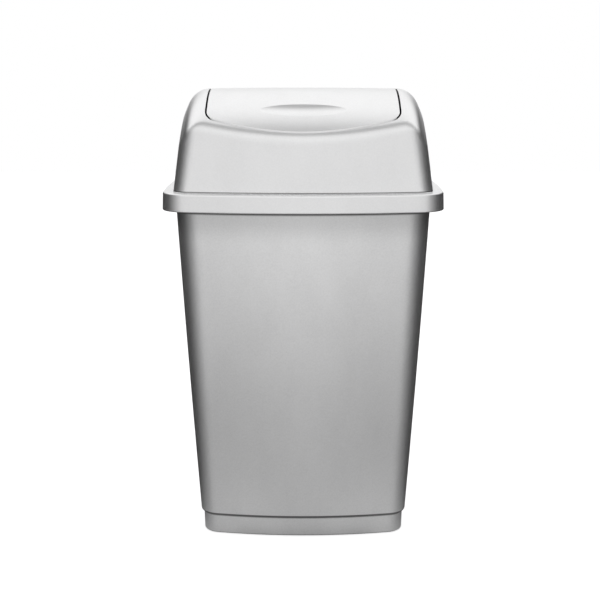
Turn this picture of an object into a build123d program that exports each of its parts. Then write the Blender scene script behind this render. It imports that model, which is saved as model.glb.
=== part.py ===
from build123d import *
from math import asin, cos, radians, sin, tan
import os

# A swing-lid trash can: a tall tapering tub on a stepped plinth, a hood whose
# skirt drops over the tub's rim, and an arched flap that swings on two pegs.
# The front is -Y, the right is +X, up is +Z, and the origin is the middle of
# the underside. Every size is in millimetres.

# Walls and clearances
tub_wall = 2.5
tub_floor = 3.0
hood_wall = 2.5
flap_wall = 2.2
seat_gap = 0.3
skirt_clearance = 0.5
flap_side_gap = 2.4
flap_end_gap = 1.2
running_fit = 0.05

# Plinth, and the step where the wall stands out over it
plinth_width = 313.2
plinth_depth = 242.4
plinth_height = 29.7
plinth_draft = 0.8
plinth_front_bow = 17.5
plinth_side_bow = 3.0
plinth_corner = 28.0
plinth_bottom_radius = 2.8
step_width = 3.8
step_radius = 5.5
wall_bulge = 1.0
foot_rib_reach = 109.0
foot_rib_width = 1.6
foot_rib_height = 20.0
foot_rib_relief = 0.4

# Rim: the hood's skirt outside, and the tub's flange and lip inside it
rim_width = 417.0
rim_depth = 340.0
rim_height = 530.6
rim_front_bow = 23.8
rim_side_bow = 5.0
rim_corner = 46.0
skirt_height = 26.2
skirt_draft = 0.9
skirt_top_radius = 2.2
skirt_foot_radius = 1.5
tub_flange_reach = 13.5
tub_corner = 50.0
tub_lip_height = 14.0

# Hood above its flange: leaning walls, and an arched top with round shoulders
hood_side_flange = 14.6
hood_end_flange = 17.4
hood_foot_radius = 0.8
hood_foot_front_bow = 19.8
hood_side_lean = 19.2
hood_end_lean = 4.4
hood_top_corner = 36.0
hood_top_front_bow = 31.0
crest_height = 677.2
crease_drop = 66.0
arch_radius = 197.6
crown_radius = 8500.0
arch_shoulder_radius = 33.0
arch_shoulder_turn = 65.0
crease_radius = 24.0

# Flap, its stiffening flange and its finger dish
hood_cheek = 40.6
shoulder_start = 0.5
flap_lip = 7.6
flap_end_bow = 23.5
flap_corner = 17.0
flap_flange_depth = 8.0
flap_flange_inset = 6.0
edge_radius = 0.6
dish_edge_radius = 0.4
dish_length = 130.0
dish_width = 33.0
dish_depth = 3.4
dish_reach = 103.8

# Pivot: headed pegs through the flap's lobes into the hood's tabs
pin_diameter = 7.0
pin_head_diameter = 12.0
pin_head = 2.0
pin_end = 2.0
pin_chamfer = 0.8
pivot_drop = 10.5
lobe_radius = 7.5
lobe_thickness = 3.0
tab_thickness = 3.0

# Places that follow from the sizes above
arch_axis_height = crest_height - arch_radius
pivot_height = crest_height - pivot_drop
crease_height = crest_height - crease_drop
tub_height = rim_height - hood_wall - seat_gap

# The crease's rounding takes up less than half of the wall under it
crease_rounding = min(crease_radius, 0.4 * (crease_height - rim_height))


def outline(z, width, depth, front_bow, side_bow, corner):
    """A level outline: a rectangle with four bowed sides and rounded corners."""
    return {"z": z, "width": width, "depth": depth, "front_bow": front_bow,
            "side_bow": side_bow, "corner": corner}


def moved_in(level, distance):
    """The same outline with every side moved in by a distance."""
    return outline(level["z"], level["width"] - 2 * distance, level["depth"] - 2 * distance,
                   level["front_bow"], level["side_bow"], level["corner"] - distance)


def at_height(z, lower, upper):
    """The outline at a height, on the straight line through two outlines."""
    share = (z - lower["z"]) / (upper["z"] - lower["z"])
    return {name: lower[name] + share * (upper[name] - lower[name]) for name in lower}


def drawn(level):
    """The face of a level outline at its own height."""
    x = level["width"] / 2 - level["side_bow"]
    y = level["depth"] / 2 - level["front_bow"]
    with BuildSketch(Plane.XY.offset(level["z"])) as sketch:
        with BuildLine():
            ThreePointArc((-x, -y), (0, -level["depth"] / 2), (x, -y))
            ThreePointArc((x, -y), (level["width"] / 2, 0), (x, y))
            ThreePointArc((x, y), (0, level["depth"] / 2), (-x, y))
            ThreePointArc((-x, y), (-level["width"] / 2, 0), (-x, -y))
        make_face()
        fillet(sketch.vertices(), level["corner"])
    return sketch.sketch


def lowest_edges(form):
    """The edges round the underside of a form."""
    return form.faces().sort_by(Axis.Z)[0].edges()


def rim_of(faces):
    """The edges round the outside of a patch of faces, without the seams inside it."""
    edges = faces.edges()
    return ShapeList([edge for edge in edges
                      if sum(edge.is_same(other) for face in faces for other in face.edges()) == 1])


def brim(form):
    """The edges round the top of a form's upright faces."""
    upright = form.faces().filter_by(lambda face: abs(face.normal_at().Z) < 0.001)
    return rim_of(upright).filter_by_position(Axis.Z, rim_height, crest_height)


# Outlines of the plinth, the tub's wall and rim, and the hood's skirt and walls
plinth_top = outline(plinth_height, plinth_width, plinth_depth, plinth_front_bow,
                     plinth_side_bow, plinth_corner)
plinth_foot = outline(0.0, plinth_width - 2 * plinth_draft, plinth_depth - 2 * plinth_draft,
                      plinth_front_bow, plinth_side_bow, plinth_corner - plinth_draft)
skirt_foot = outline(rim_height - skirt_height, rim_width, rim_depth, rim_front_bow,
                     rim_side_bow, rim_corner)
skirt_top = outline(rim_height, rim_width - 2 * skirt_draft, rim_depth - 2 * skirt_draft,
                    rim_front_bow, rim_side_bow, rim_corner - skirt_draft)
tub_flange = moved_in(at_height(tub_height, skirt_foot, skirt_top), hood_wall + skirt_clearance)
wall_foot = outline(plinth_height, plinth_width + 2 * step_width, plinth_depth + 2 * step_width,
                    plinth_front_bow, plinth_side_bow, plinth_corner + step_width)
wall_top = moved_in(tub_flange, tub_flange_reach) | {"corner": tub_corner}
hood_foot = outline(rim_height, skirt_top["width"] - 2 * hood_side_flange,
                    skirt_top["depth"] - 2 * hood_end_flange, hood_foot_front_bow, rim_side_bow,
                    skirt_top["corner"] - hood_side_flange)
hood_top = outline(crest_height, hood_foot["width"] - 2 * hood_side_lean,
                   hood_foot["depth"] - 2 * hood_end_lean, hood_top_front_bow, rim_side_bow,
                   hood_top_corner)
hood_crease = at_height(crease_height, hood_foot, hood_top)
wall_middle = moved_in(at_height((plinth_height + tub_height) / 2, wall_foot, wall_top), -wall_bulge)


def tub_form(low, growth):
    """The tub's tapering wall as a closed solid from a height to the rim, moved out by a growth."""
    levels = [at_height(low, wall_foot, wall_middle), wall_middle, wall_top]
    with BuildPart() as form:
        loft([drawn(moved_in(level, -growth)) for level in levels])
    return form.part


def foot_ribs():
    """Two short upright ribs near each end of the front and back walls, just over the step."""
    with BuildPart() as form:
        with BuildSketch(Plane.XY.offset(plinth_height + step_radius)):
            with Locations((-foot_rib_reach, 0), (foot_rib_reach, 0)):
                Rectangle(foot_rib_width, rim_depth)
        extrude(amount=foot_rib_height)
        add(tub_form(plinth_height, foot_rib_relief), mode=Mode.INTERSECT)
    return form.part


# The tub: wall, plinth, flange and turned-down lip, hollowed from above
with BuildPart() as bin_body:
    add(tub_form(plinth_height, 0))
    fillet(lowest_edges(bin_body), step_radius)
    loft([drawn(plinth_foot), drawn(at_height(plinth_height + step_radius, plinth_foot, plinth_top))])
    fillet(lowest_edges(bin_body), plinth_bottom_radius)
    add(foot_ribs())
    extrude(drawn(tub_flange), amount=-tub_wall)
    extrude(drawn(tub_flange) - drawn(moved_in(tub_flange, tub_wall)), amount=-tub_lip_height)
    ledge_height = plinth_height + tub_wall
    add(tub_form(ledge_height, -tub_wall), mode=Mode.SUBTRACT)
    plinth_levels = [moved_in(at_height(z, plinth_foot, plinth_top), tub_wall)
                     for z in (tub_floor, ledge_height)]
    loft([drawn(level) for level in plinth_levels], mode=Mode.SUBTRACT)

# The flap's plan has straight sides and bowed ends
flap_width = hood_crease["width"] - 2 * (hood_cheek + flap_side_gap)
flap_depth = hood_crease["depth"] - 2 * (flap_lip + flap_end_gap)


def flap_plan(side_growth, end_growth):
    """The flap's outline from above, grown at its sides and at its ends."""
    x = flap_width / 2 + side_growth
    end = flap_depth / 2 + end_growth
    y = end - flap_end_bow
    with BuildSketch(Plane.XY.offset(arch_axis_height)) as sketch:
        with BuildLine():
            ThreePointArc((-x, -y), (0, -end), (x, -y))
            Line((x, -y), (x, y))
            ThreePointArc((x, y), (0, end), (-x, y))
            Line((-x, y), (-x, -y))
        make_face()
        fillet(sketch.vertices(), flap_corner + side_growth)
    return sketch.sketch


def around(centre, radius, turn):
    """The point on a circle at a turn from straight up, in radians."""
    return (centre[0] + radius * sin(turn), centre[1] + radius * cos(turn))


def arch(inset):
    """The arched top as a barrel about a left-right axis, its surface moved in by an inset."""
    half = rim_width / 2
    crown_end = asin((flap_width / 2 + flap_side_gap + shoulder_start) / crown_radius)
    crown_centre = (0, crest_height - crown_radius)
    round_end = crown_end + radians(arch_shoulder_turn)
    with BuildPart() as barrel:
        with BuildSketch(Plane.XZ):
            with BuildLine():
                ThreePointArc(around(crown_centre, crown_radius - inset, -crown_end),
                              (0, crest_height - inset),
                              around(crown_centre, crown_radius - inset, crown_end))
                for side in (-1, 1):
                    centre = around(crown_centre, crown_radius - arch_shoulder_radius,
                                    side * crown_end)
                    ends = [around(centre, arch_shoulder_radius - inset, side * turn)
                            for turn in (crown_end, (crown_end + round_end) / 2, round_end)]
                    ThreePointArc(*ends)
                    drop = (half - abs(ends[2][0])) * tan(round_end)
                    Polyline(ends[2], (side * half, ends[2][1] - drop),
                             (side * half, arch_axis_height), (0, arch_axis_height))
            make_face()
        revolve(axis=Axis((0, 0, arch_axis_height), (1, 0, 0)))
    return barrel.part


def dome(inset):
    """The hood's walls under its arched top, every face moved in by an inset."""
    low = at_height(rim_height - hood_wall, hood_foot, hood_top)
    high = at_height(crest_height + hood_wall, hood_foot, hood_top)
    with BuildPart() as form:
        loft([drawn(moved_in(low, inset)), drawn(moved_in(high, inset))])
        add(arch(inset), mode=Mode.INTERSECT)
        fillet(rim_of(form.faces().sort_by(Axis.Z)[-3:]), crease_rounding - inset)
    return form.part


def disc(side, start, length, radius):
    """A disc round the pivot axis on one side, from a distance out from the middle."""
    with BuildPart() as form:
        with BuildSketch(Plane.YZ.offset(side * start)):
            with Locations((0, pivot_height)):
                Circle(radius)
        extrude(amount=side * length)
    return form.part


def hanger(side, start, thickness, cover):
    """A round-ended ear round the pivot axis that reaches up into an arched wall."""
    rise = crest_height - pivot_height
    with BuildPart() as form:
        with BuildSketch(Plane.YZ.offset(side * start)):
            with Locations((0, pivot_height)):
                Circle(lobe_radius)
            with Locations((0, pivot_height + rise / 2)):
                Rectangle(2 * lobe_radius, rise)
        extrude(amount=side * thickness)
        add(arch(cover / 2), mode=Mode.INTERSECT)
    return form.part


lobe_start = flap_width / 2 - lobe_thickness
tab_start = flap_width / 2 + flap_side_gap

# The hood: skirt, flange and dome as one skin, with the opening and two bearing tabs
with BuildPart() as hood:
    add(dome(0))
    loft([drawn(skirt_foot), drawn(skirt_top)])
    flange = hood.faces().filter_by(Plane.XY).sort_by(Axis.Z)[-1]
    fillet(flange.inner_wires()[0].edges(), hood_foot_radius)
    flange = hood.faces().filter_by(Plane.XY).sort_by(Axis.Z)[-1]
    fillet(flange.outer_wire().edges(), skirt_top_radius)
    fillet(lowest_edges(hood), skirt_foot_radius)
    extrude(flap_plan(flap_side_gap, flap_end_gap), amount=crest_height, mode=Mode.SUBTRACT)
    fillet(brim(hood), edge_radius)
    skirt_levels = [moved_in(at_height(z, skirt_foot, skirt_top), hood_wall)
                    for z in (skirt_foot["z"], rim_height - hood_wall)]
    loft([drawn(level) for level in skirt_levels], mode=Mode.SUBTRACT)
    add(dome(hood_wall), mode=Mode.SUBTRACT)
    for side in (-1, 1):
        add(hanger(side, tab_start, tab_thickness, hood_wall))
        add(disc(side, tab_start, tab_thickness, pin_diameter / 2 + running_fit),
            mode=Mode.SUBTRACT)


def dish_form(growth):
    """The egg-shaped form that presses the finger dish, its surface moved out."""
    round_radius = ((dish_width / 2) ** 2 + dish_depth ** 2) / (2 * dish_depth)
    long_radius = dish_length / dish_width * round_radius
    turn = asin(dish_reach / arch_radius)
    reach = arch_radius + round_radius - dish_depth
    middle = (0, -reach * sin(turn), arch_axis_height + reach * cos(turn))
    with BuildPart() as egg:
        with BuildSketch(Plane(middle, x_dir=(1, 0, 0), z_dir=(0, -1, 0))):
            with BuildLine():
                half_oval = EllipticalCenterArc((0, 0), long_radius + growth, round_radius + growth,
                                                start_angle=0, arc_size=180)
                Line(half_oval @ 1, half_oval @ 0)
            make_face()
        revolve(axis=Axis(middle, (1, 0, 0)))
    return egg.part


# The flap: an arched plate with a stiffening flange, the dish and two lobes
with BuildPart() as flap_flange:
    ring = flap_plan(0, -flap_flange_inset) - flap_plan(-flap_wall, -flap_flange_inset - flap_wall)
    extrude(ring, amount=crest_height)
    add(arch(flap_wall / 2), mode=Mode.INTERSECT)
    add(arch(flap_flange_depth), mode=Mode.SUBTRACT)

with BuildPart() as dish_back:
    add(dish_form(flap_wall))
    add(arch(flap_wall / 2), mode=Mode.INTERSECT)

with BuildPart() as flap:
    extrude(flap_plan(0, 0), amount=crest_height)
    add(arch(0), mode=Mode.INTERSECT)
    fillet(brim(flap), edge_radius)
    add(arch(flap_wall), mode=Mode.SUBTRACT)
    add(flap_flange.part)
    add(dish_back.part)
    add(dish_form(0), mode=Mode.SUBTRACT)
    crown = flap.faces().sort_by(Axis.Z)[-1]
    fillet(crown.inner_wires()[0].edges(), dish_edge_radius)
    for side in (-1, 1):
        add(hanger(side, lobe_start, lobe_thickness, flap_wall))
        add(disc(side, lobe_start, lobe_thickness, pin_diameter / 2), mode=Mode.SUBTRACT)

pieces = {"bin_body": bin_body.part, "hood": hood.part, "flap": flap.part}

# The two pegs: a head inside the flap's lobe, and a chamfered end past the hood's tab
for side, name in ((-1, "pivot_pin_left"), (1, "pivot_pin_right")):
    shank = lobe_thickness + flap_side_gap + tab_thickness + pin_end
    with BuildPart() as pin:
        add(disc(side, lobe_start - pin_head, pin_head, pin_head_diameter / 2))
        add(disc(side, lobe_start, shank, pin_diameter / 2))
        tip = pin.faces().sort_by(Axis.X)[-1 if side > 0 else 0]
        chamfer(tip.edges(), pin_chamfer)
    pieces[name] = pin.part

os.makedirs("parts", exist_ok=True)
for name, piece in pieces.items():
    piece.label = name
    export_step(piece, f"parts/{name}.step")
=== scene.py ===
import bpy
from math import pi, radians
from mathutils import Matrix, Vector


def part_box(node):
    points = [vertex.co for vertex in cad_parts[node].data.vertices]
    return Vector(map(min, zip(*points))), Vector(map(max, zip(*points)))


# A silver swing-lid trash can on a pale studio floor, seen from its front and a
# little above. Lengths are in metres, up is +Z and the front is -Y.
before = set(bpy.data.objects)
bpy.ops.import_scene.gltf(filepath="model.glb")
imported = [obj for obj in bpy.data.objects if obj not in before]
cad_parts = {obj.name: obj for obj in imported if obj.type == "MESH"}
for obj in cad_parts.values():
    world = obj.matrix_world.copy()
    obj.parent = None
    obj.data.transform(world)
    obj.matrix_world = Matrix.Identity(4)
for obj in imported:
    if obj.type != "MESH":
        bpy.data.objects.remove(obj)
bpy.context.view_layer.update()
scene = bpy.context.scene
scene.view_settings.view_transform = "Standard"

MM = 0.001

# Where the camera stood, worked out from the outline in the photograph: in
# metres and degrees, and in the photograph's own pixels
PHOTO_WIDTH = 600
CAMERA_DISTANCE = 1.80
CAMERA_HEIGHT = 0.712
CAMERA_PITCH = 11.48
FOCAL_PIXELS = 1160
CENTRE_LINE = 303.19
SENSOR_WIDTH_MM = 36.0

# The studio. Its walls' brightness goes by the turn away from the front, in
# degrees: dark cloth hangs at the left and the right. Its ceiling's goes by the
# climb from the front, over the top, down to the back. The cloth's top and
# the height where it is gone are heights on a sphere of radius 1.
HALF_TURN = 180.0
STUDIO_WALLS = [(0, 1.07), (46, 1.03), (60, 0.6), (82, 0.2), (98, 0.02), (150, 0.0),
                (161, 0.5), (170, 1.05)]
STUDIO_CEILING = [(0, 1.07), (46, 1.18), (60, 1.0), (72, 0.45), (86, 0.38), (98, 1.14),
                  (110, 1.36), (130, 1.3), (180, 1.24)]
CLOTH_TOP = 0.25
CLOTH_GONE = 0.54

# The floor, just below the bin. It glows only to the camera, so that it is white.
FLOOR_HALF = 6.0
FLOOR_DROP = 0.5 * MM
FLOOR_SHADE = 0.8
FLOOR_GLOW = 0.62
# The floor's brightness in the silver, by the distance from the bin's foot. It
# is changed towards the sides, by one factor near the foot and another far away.
FOOT_HALF_WIDTH = 0.09
FOOT_HALF_DEPTH = 0.12
FLOOR_REACH = 2.5
NEAR_THE_FOOT = 0.05
FAR_FROM_FOOT = 0.35
FOOT_SIDE_RISE = 1.14
FLOOR_SIDE_FADE = 0.86
SIDE_START = 0.05
SIDE_FULL = 0.4
FLOOR_LEVELS = [(0.0, 0.23), (0.03, 0.32), (0.07, 0.37), (0.3, 0.38), (0.6, 0.4), (0.9, 0.49),
                (1.3, 0.65), (1.8, 0.73), (2.5, 0.78)]

# Heights on the bin where shade and a highlight are painted into the silver.
# The rim's top and the step are where the CAD has them.
SKIRT_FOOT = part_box("hood")[0][2]
RIM_TOP = 530.6 * MM
STEP_HEIGHT = 29.7 * MM

# A painted band is four heights and a change of the silver's colour: it starts, is
# full, leaves and is gone. A change below 0 paints shade, above 0 a highlight.
# Painted shadow: a dark line on the tub just under the hood's skirt.
PAINTED_SHADOW_UNDER_SKIRT = (SKIRT_FOOT - 7.2 * MM, SKIRT_FOOT - 1.8 * MM, SKIRT_FOOT,
               SKIRT_FOOT + 2.5 * MM, -0.92)
# Painted shade: the tub is darkened gently over the 60 mm below the overhanging skirt.
PAINTED_SHADE_BELOW_SKIRT = (SKIRT_FOOT - 60 * MM, SKIRT_FOOT - 2 * MM, SKIRT_FOOT, SKIRT_FOOT + 4 * MM, -0.2)
# Painted shadow: a dark line along the step above the tub's plinth.
PAINTED_STEP_SHADOW = (STEP_HEIGHT - 2.5 * MM, STEP_HEIGHT + 0.8 * MM, STEP_HEIGHT + 3.6 * MM,
             STEP_HEIGHT + 5.2 * MM, -0.78)
# Painted shade: darker where the tub's foot meets the floor.
PAINTED_FOOT_SHADE = (-2 * MM, -1 * MM, 0.6 * MM, 3.2 * MM, -0.5)
# Painted highlight: a brighter band along the skirt's top edge.
PAINTED_RIM_HIGHLIGHT = (RIM_TOP - 3.4 * MM, RIM_TOP - 2.4 * MM, RIM_TOP, RIM_TOP + 0.2 * MM, 0.08)
# Painted shade: a dark line where the hood's wall meets the rim's ledge.
PAINTED_HOOD_FOOT_SHADE = (RIM_TOP + 0.5 * MM, RIM_TOP + 0.9 * MM, RIM_TOP + 1.5 * MM,
                  RIM_TOP + 2.5 * MM, -0.8)

# Painted shadow on the upright faces beside the flap's side gaps: distances from
# the middle, the lowest height and the share of the silver that the shadow leaves
FLAP_HALF_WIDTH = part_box("flap")[1][0]
GAP_INNER = FLAP_HALF_WIDTH - 5.0 * MM
GAP_OUTER = FLAP_HALF_WIDTH + 2.8 * MM
FLAP_OUTER = 1.0
GAP_LOWEST = 606 * MM
PAINTED_GAP_SHADOW = 0.2

# The silver plastic
SILVER_TONE = 0.92
SILVER_BLUE = 1.003
SILVER_ROUGHNESS = 0.32
SILVER_METALLIC = 0.9
PEG_TONE = 0.6
PEG_ROUGHNESS = 0.45
TUB_SPECKS = 0.16
TUB_CLOUDS = 0.1
LID_SPECKS = 0.09
LID_CLOUDS = 0.07
SPECKS_PER_METRE = 420.0
CLOUDS_PER_METRE = 26.0
CLOUD_FLOW = (1.0, 1.0, 0.45)
TEXTURE_PER_METRE = 1500.0
TEXTURE_DEPTH = 0.08 * MM
TEXTURE_STRENGTH = 0.35
SPECKS_IN_TEXTURE = 0.6

# Use: thin dust on what faces up, and rubbed patches of fine wiping marks
PATCHES_PER_METRE = 18.0
WIPING_MARKS = 6.0
WIPING_STRETCH = (6.0, 6.0, 90.0)
MOTES_PER_METRE = 900.0
DUST_SHADE = 0.05
DUST_DULLING = 0.1
RUBBED_DULLING = -0.025


def place_camera():
    """The photograph's camera: level sideways and shifted so that the bin stands as it did."""
    lens = bpy.data.cameras.new("photo_camera")
    lens.sensor_width = SENSOR_WIDTH_MM
    lens.lens = FOCAL_PIXELS / PHOTO_WIDTH * lens.sensor_width
    lens.shift_x = (PHOTO_WIDTH / 2 - CENTRE_LINE) / PHOTO_WIDTH
    camera = bpy.data.objects.new("photo_camera", lens)
    camera.location = (0.0, -CAMERA_DISTANCE, CAMERA_HEIGHT)
    camera.rotation_euler = (radians(90.0 - CAMERA_PITCH), 0.0, 0.0)
    scene.collection.objects.link(camera)
    scene.camera = camera


def feed(socket, value):
    """Gives an input socket a value, or joins it to another node's output."""
    if isinstance(value, bpy.types.NodeSocket):
        socket.id_data.links.new(value, socket)
    else:
        socket.default_value = value


class Tree:
    """Adds labelled nodes to one node tree and joins them."""

    def __init__(self, tree):
        self.tree = tree

    def add(self, kind, label="", inputs=None, **settings):
        """One node with its settings; its inputs go by name or number."""
        node = self.tree.nodes.new(kind)
        node.label = label
        for name, value in settings.items():
            setattr(node, name, value)
        for name, value in (inputs or {}).items():
            feed(node.inputs[name], value)
        return node

    def maths(self, operation, first, second=None, label=""):
        """A Math node's result."""
        inputs = {0: first} if second is None else {0: first, 1: second}
        return self.add("ShaderNodeMath", label, inputs, operation=operation).outputs[0]

    def rise(self, value, start, end, label="", low=0.0, high=1.0):
        """A smooth change from low to high while a value goes from start to end."""
        inputs = {"Value": value, "From Min": start, "From Max": end, "To Min": low, "To Max": high}
        return self.add("ShaderNodeMapRange", label, inputs,
                        interpolation_type="SMOOTHSTEP").outputs[0]

    def ramp(self, value, stops, label=""):
        """A grey ramp's result; each stop is a position and a level."""
        node = self.add("ShaderNodeValToRGB", label, {0: value})
        elements = node.color_ramp.elements
        while len(elements) < len(stops):
            elements.new(0.5)
        for element, (position, level) in zip(elements, stops):
            element.position = position
            element.color = (level, level, level, 1.0)
        return node.outputs[0]

    def noise(self, place, per_metre, detail, label=""):
        """Cloudy noise, about 0 to 1, with so many blobs to a metre."""
        inputs = {"Vector": place, "Scale": per_metre, "Detail": detail}
        return self.add("ShaderNodeTexNoise", label, inputs).outputs[0]

    def group(self, group, **inputs):
        """A shader node group placed in this tree; its inputs go by name."""
        node = self.add("ShaderNodeGroup", group.name.replace("_", " "), node_tree=group)
        for name, value in inputs.items():
            feed(node.inputs[name.replace("_", " ")], value)
        return node.outputs


def new_group(name, inputs, outputs):
    """A shader node group with named sockets; an input is a kind, a name and a value."""
    group = bpy.data.node_groups.new(name, "ShaderNodeTree")
    for kind, label, value in inputs:
        socket = group.interface.new_socket(label, in_out="INPUT",
                                            socket_type="NodeSocket" + kind)
        if value is not None:
            socket.default_value = value
    for kind, label in outputs:
        group.interface.new_socket(label, in_out="OUTPUT", socket_type="NodeSocket" + kind)
    tree = Tree(group)
    given = tree.add("NodeGroupInput").outputs
    result = tree.add("NodeGroupOutput").inputs
    return group, tree, given, result


def studio_walls_group():
    """Brightness of the studio's walls in a level direction."""
    group, tree, given, result = new_group("studio_walls", [("Vector", "Direction", None)],
                                           [("Float", "Level")])
    apart = tree.add("ShaderNodeSeparateXYZ", inputs={0: given["Direction"]}).outputs
    sideways = tree.maths("ABSOLUTE", apart["X"], label="left or right")
    frontward = tree.maths("MULTIPLY", apart["Y"], -1.0, label="towards the front")
    turn = tree.maths("ARCTAN2", sideways, frontward, label="turn from the front")
    share = tree.maths("DIVIDE", turn, pi, label="share of half a turn")
    stops = [(degrees / HALF_TURN, level) for degrees, level in STUDIO_WALLS]
    feed(result["Level"], tree.ramp(share, stops, "walls of the studio"))
    return group


def silver_grain_group():
    """Clouds and fine specks in a silver plastic: a shade near 1, and a height."""
    group, tree, given, result = new_group(
        "silver_grain",
        [("Vector", "Place", None), ("Float", "Speck Depth", TUB_SPECKS),
         ("Float", "Cloud Depth", TUB_CLOUDS)],
        [("Float", "Shade"), ("Float", "Height")])
    place = given["Place"]
    specks = tree.noise(place, SPECKS_PER_METRE, 2.0, "specks of flake")
    flow = tree.add("ShaderNodeMapping", "flow of the melt",
                    {"Vector": place, "Scale": CLOUD_FLOW}).outputs[0]
    clouds = tree.noise(flow, CLOUDS_PER_METRE, 3.0, "clouds of flake")
    texture = tree.noise(place, TEXTURE_PER_METRE, 1.0, "texture of the mould")
    fine = tree.maths("MULTIPLY", tree.maths("SUBTRACT", specks, 0.5), given["Speck Depth"])
    broad = tree.maths("MULTIPLY", tree.maths("SUBTRACT", clouds, 0.5), given["Cloud Depth"])
    feed(result["Shade"], tree.maths("ADD", 1.0, tree.maths("ADD", fine, broad)))
    feed(result["Height"],
         tree.maths("ADD", texture, tree.maths("MULTIPLY", specks, SPECKS_IN_TEXTURE)))
    return group


def height_band_group():
    """A mask for a level band: it rises over one stretch of height and falls over another."""
    names = ("Rise Start", "Rise End", "Fall Start", "Fall End")
    group, tree, given, result = new_group(
        "height_band", [("Vector", "Place", None)] + [("Float", name, 0.0) for name in names],
        [("Float", "Mask")])
    height = tree.add("ShaderNodeSeparateXYZ", inputs={0: given["Place"]}).outputs["Z"]
    up = tree.rise(height, given["Rise Start"], given["Rise End"], "into the band")
    down = tree.rise(height, given["Fall Start"], given["Fall End"], "out of the band", 1.0, 0.0)
    feed(result["Mask"], tree.maths("MULTIPLY", up, down))
    return group


def gap_sides_group():
    """A mask for the upright faces beside the flap's side gaps, where shadow is painted."""
    group, tree, given, result = new_group(
        "gap_sides",
        [("Vector", "Place", None), ("Vector", "Facing", None), ("Float", "Inner", GAP_INNER),
         ("Float", "Outer", GAP_OUTER), ("Float", "Lowest", GAP_LOWEST)],
        [("Float", "Mask")])
    apart = tree.add("ShaderNodeSeparateXYZ", inputs={0: given["Place"]}).outputs
    facing = tree.add("ShaderNodeSeparateXYZ", inputs={0: given["Facing"]}).outputs
    sideways = tree.maths("ABSOLUTE", apart["X"], label="left or right")
    tests = [tree.maths("GREATER_THAN", sideways, given["Inner"]),
             tree.maths("LESS_THAN", sideways, given["Outer"]),
             tree.maths("GREATER_THAN", apart["Z"], given["Lowest"]),
             tree.rise(tree.maths("ABSOLUTE", facing["X"]), 0.2, 0.6, "faces sideways"),
             tree.rise(tree.maths("ABSOLUTE", facing["Z"]), 0.3, 0.5, "upright", 1.0, 0.0)]
    mask = tests[0]
    for test in tests[1:]:
        mask = tree.maths("MULTIPLY", mask, test)
    feed(result["Mask"], mask)
    return group


def handling_group():
    """Rubbed patches and thin dust: masks for a smoother and for a duller finish."""
    group, tree, given, result = new_group(
        "handling", [("Vector", "Place", None), ("Float", "Patches Per Metre", PATCHES_PER_METRE)],
        [("Float", "Rubbed"), ("Float", "Dust")])
    patches = tree.noise(given["Place"], given["Patches Per Metre"], 4.0, "rubbed patches")
    lines = tree.add("ShaderNodeMapping", "fine wiping marks",
                     {"Vector": given["Place"], "Scale": WIPING_STRETCH}).outputs[0]
    marks = tree.noise(lines, WIPING_MARKS, 2.0, "wiping marks")
    rubbed = tree.maths("MULTIPLY", tree.rise(patches, 0.3, 0.8), tree.rise(marks, 0.3, 0.8))
    facing = tree.add("ShaderNodeSeparateXYZ",
                      inputs={0: tree.add("ShaderNodeNewGeometry").outputs["Normal"]}).outputs["Z"]
    motes = tree.noise(given["Place"], MOTES_PER_METRE, 2.0, "motes")
    dust = tree.maths("MULTIPLY", tree.rise(facing, 0.6, 1.0), tree.rise(motes, 0.4, 0.8))
    feed(result["Rubbed"], rubbed)
    feed(result["Dust"], dust)
    return group


def floor_in_silver(tree, walls, place):
    """How bright the silver sees the floor at a place: darkest at the bin's foot."""
    level = tree.group(walls, Direction=place)["Level"]
    mirrored_place = tree.add("ShaderNodeVectorMath", "one quarter", {0: place},
                              operation="ABSOLUTE").outputs[0]
    outward = tree.add("ShaderNodeVectorMath", "away from the foot",
                       {0: mirrored_place, 1: (FOOT_HALF_WIDTH, FOOT_HALF_DEPTH, 0.0)},
                       operation="SUBTRACT").outputs[0]
    outside = tree.add("ShaderNodeVectorMath", "outside the foot", {0: outward, 1: (0, 0, 0)},
                       operation="MAXIMUM").outputs[0]
    reach = tree.add("ShaderNodeVectorMath", "distance from the foot", {0: outside},
                     operation="LENGTH").outputs["Value"]
    share = tree.maths("DIVIDE", reach, FLOOR_REACH)
    stops = [(distance / FLOOR_REACH, shade) for distance, shade in FLOOR_LEVELS]
    fade = tree.ramp(share, stops, "brighter away from the foot")
    bearing = tree.add("ShaderNodeVectorMath", "bearing", {0: place},
                       operation="NORMALIZE").outputs[0]
    apart = tree.add("ShaderNodeSeparateXYZ", inputs={0: bearing}).outputs
    sideways = tree.rise(tree.maths("ABSOLUTE", apart["X"]), SIDE_START, SIDE_FULL, "to the sides")
    at_sides = tree.rise(reach, NEAR_THE_FOOT, FAR_FROM_FOOT, "light to the sides",
                         FOOT_SIDE_RISE, FLOOR_SIDE_FADE)
    change = tree.maths("MULTIPLY", sideways, tree.maths("SUBTRACT", at_sides, 1.0))
    fade = tree.maths("MULTIPLY", fade, tree.maths("ADD", change, 1.0))
    return tree.maths("MULTIPLY", level, fade)


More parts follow.
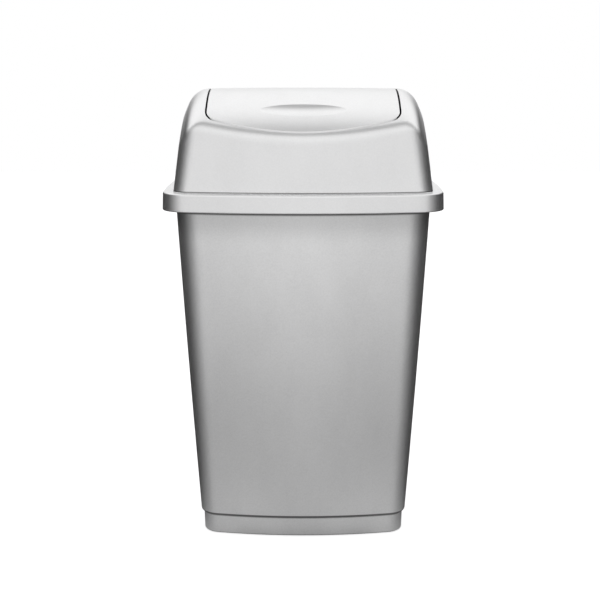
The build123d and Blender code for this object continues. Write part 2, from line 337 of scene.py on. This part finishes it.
def lay_floor(walls):
    """A pale floor that the camera sees as white, with the bin's soft shadow on it."""
    mesh = bpy.data.meshes.new("studio_floor")
    half = FLOOR_HALF
    corners = [(-half, -half, 0), (half, -half, 0), (half, half, 0), (-half, half, 0)]
    mesh.from_pydata(corners, [], [(0, 1, 2, 3)])
    floor = bpy.data.objects.new("studio_floor", mesh)
    floor.location.z = -FLOOR_DROP
    scene.collection.objects.link(floor)
    material = bpy.data.materials.new("pale_floor")
    material.use_nodes = True
    material.node_tree.nodes.clear()
    tree = Tree(material.node_tree)
    seen = tree.add("ShaderNodeLightPath").outputs
    place = tree.add("ShaderNodeTexCoord").outputs["Object"]
    mirrored = tree.add("ShaderNodeEmission", "floor seen in the silver",
                        {"Strength": floor_in_silver(tree, walls, place)})
    paint = tree.add("ShaderNodeBsdfDiffuse", "pale floor",
                     {"Color": (FLOOR_SHADE, FLOOR_SHADE, FLOOR_SHADE, 1.0)})
    glow = tree.add("ShaderNodeEmission", "white to the camera",
                    {"Strength": tree.maths("MULTIPLY", seen["Is Camera Ray"], FLOOR_GLOW)})
    both = tree.add("ShaderNodeAddShader", inputs={0: paint.outputs[0], 1: glow.outputs[0]})
    mix = tree.add("ShaderNodeMixShader", inputs={0: seen["Is Glossy Ray"], 1: both.outputs[0],
                                                  2: mirrored.outputs[0]})
    clear = tree.add("ShaderNodeBsdfTransparent", "clear from below")
    underside = tree.add("ShaderNodeNewGeometry").outputs["Backfacing"]
    one_sided = tree.add("ShaderNodeMixShader", inputs={0: underside, 1: mix.outputs[0],
                                                        2: clear.outputs[0]})
    tree.add("ShaderNodeOutputMaterial", inputs={"Surface": one_sided.outputs[0]})
    mesh.materials.append(material)


def light_world(walls):
    """A pale studio whose left and right sides are hung with dark cloth."""
    world = bpy.data.worlds.new("studio_world")
    scene.world = world
    world.use_nodes = True
    world.node_tree.nodes.clear()
    tree = Tree(world.node_tree)
    direction = tree.add("ShaderNodeTexCoord").outputs["Generated"]
    level = tree.group(walls, Direction=direction)["Level"]
    apart = tree.add("ShaderNodeSeparateXYZ", inputs={0: direction}).outputs
    frontward = tree.maths("MULTIPLY", apart["Y"], -1.0, label="towards the front")
    climb = tree.maths("DIVIDE", tree.maths("ARCTAN2", apart["Z"], frontward), pi,
                       label="climb from the front")
    stops = [(degrees / HALF_TURN, shade) for degrees, shade in STUDIO_CEILING]
    ceiling = tree.ramp(climb, stops, "ceiling of the studio")
    open_air = tree.rise(apart["Z"], CLOTH_TOP, CLOTH_GONE, "over the cloth")
    room = tree.add("ShaderNodeMix", "room", {"Factor": open_air, "A": level, "B": ceiling},
                    data_type="FLOAT").outputs[0]
    lit = tree.add("ShaderNodeBackground", "studio light", {"Strength": room})
    white = tree.add("ShaderNodeBackground", "white backdrop", {"Color": (1.0, 1.0, 1.0, 1.0)})
    seen = tree.add("ShaderNodeLightPath").outputs
    mix = tree.add("ShaderNodeMixShader", inputs={0: seen["Is Camera Ray"], 1: lit.outputs[0],
                                                  2: white.outputs[0]})
    tree.add("ShaderNodeOutputWorld", inputs={"Surface": mix.outputs[0]})


def silver_plastic(name, effects, base=SILVER_TONE, roughness=SILVER_ROUGHNESS,
                   offset=(0, 0, 0), bands=(), gap=None, speck_depth=LID_SPECKS,
                   cloud_depth=LID_CLOUDS):
    """Silver plastic with flake and a moulded texture.

    The offset gives each piece its own grain. The bands and the gap, as
    described at the top, paint shade, shadow and a highlight into the silver's colour.
    """
    material = bpy.data.materials.new(name)
    material.use_nodes = True
    material.node_tree.nodes.clear()
    tree = Tree(material.node_tree)
    place = tree.add("ShaderNodeTexCoord").outputs["Object"]
    moved = tree.add("ShaderNodeVectorMath", "this piece's own grain", {0: place, 1: offset},
                     operation="ADD").outputs[0]
    grain = tree.group(effects["grain"], Place=moved, Speck_Depth=speck_depth,
                       Cloud_Depth=cloud_depth)
    worn = tree.group(effects["handling"], Place=moved)
    shade = grain["Shade"]
    for start, full, leave, gone, change in bands:
        mask = tree.group(effects["band"], Place=place, Rise_Start=start, Rise_End=full,
                          Fall_Start=leave, Fall_End=gone)["Mask"]
        shade = tree.maths("MULTIPLY", shade, tree.rise(mask, 0.0, 1.0, "", 1.0, 1.0 + change))
    if gap:
        inner, outer = gap
        facing = tree.add("ShaderNodeTexCoord").outputs["Normal"]
        mask = tree.group(effects["gap"], Place=place, Facing=facing, Inner=inner, Outer=outer,
                          Lowest=GAP_LOWEST)["Mask"]
        # Painted shadow: the upright faces in the side gaps are darkened.
        dark = tree.rise(mask, 0.0, 1.0, "painted shadow in the gap", 1.0, PAINTED_GAP_SHADOW)
        shade = tree.maths("MULTIPLY", shade, dark)
    dusty = tree.maths("MULTIPLY", worn["Dust"], DUST_SHADE)
    shade = tree.maths("SUBTRACT", shade, dusty)
    tone = tree.maths("MULTIPLY", shade, base, label="silver tone")
    blue = tree.maths("MULTIPLY", tone, SILVER_BLUE)
    colour = tree.add("ShaderNodeCombineColor", "silver",
                      {"Red": tone, "Green": tone, "Blue": blue}).outputs[0]
    dull = tree.maths("MULTIPLY", worn["Dust"], DUST_DULLING)
    sleek = tree.maths("MULTIPLY", worn["Rubbed"], RUBBED_DULLING)
    rough = tree.maths("ADD", roughness, tree.maths("ADD", dull, sleek), label="satin")
    bump = tree.add("ShaderNodeBump", "moulded texture", {
        "Height": grain["Height"], "Distance": TEXTURE_DEPTH, "Strength": TEXTURE_STRENGTH})
    shader = tree.add("ShaderNodeBsdfPrincipled", "silver plastic", {
        "Base Color": colour, "Roughness": rough, "Normal": bump.outputs[0],
        "Metallic": SILVER_METALLIC})
    tree.add("ShaderNodeOutputMaterial", inputs={"Surface": shader.outputs[0]})
    return material


def dress(node, material):
    """Puts one material on every face of a piece."""
    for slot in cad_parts[node].material_slots:
        slot.material = material


place_camera()
walls = studio_walls_group()
light_world(walls)
lay_floor(walls)

effects = {"grain": silver_grain_group(), "band": height_band_group(), "gap": gap_sides_group(),
           "handling": handling_group()}
# The tub's bands are painted: shadow under the skirt, shade below it, shadow at the step and shade
# at the foot.
dress("bin_body", silver_plastic(
    "tub_silver", effects, bands=(PAINTED_SHADOW_UNDER_SKIRT, PAINTED_SHADE_BELOW_SKIRT, PAINTED_STEP_SHADOW, PAINTED_FOOT_SHADE),
    speck_depth=TUB_SPECKS, cloud_depth=TUB_CLOUDS))
# The hood's bands are a painted highlight on the skirt's top edge and painted shade at the hood's
# foot, with painted shadow in the side gaps.
dress("hood", silver_plastic(
    "hood_silver", effects, offset=(3.1, 0.4, 1.7), bands=(PAINTED_RIM_HIGHLIGHT, PAINTED_HOOD_FOOT_SHADE),
    gap=(GAP_INNER, GAP_OUTER)))
# The flap gets painted shadow on its sides in the gaps.
dress("flap", silver_plastic(
    "flap_silver", effects, offset=(7.3, 2.2, 0.9), gap=(GAP_INNER, FLAP_OUTER)))
peg_silver = silver_plastic("peg_silver", effects, base=PEG_TONE, roughness=PEG_ROUGHNESS,
                            offset=(1.3, 5.2, 4.9), speck_depth=TUB_SPECKS)
dress("pivot_pin_left", peg_silver)
dress("pivot_pin_right", peg_silver)
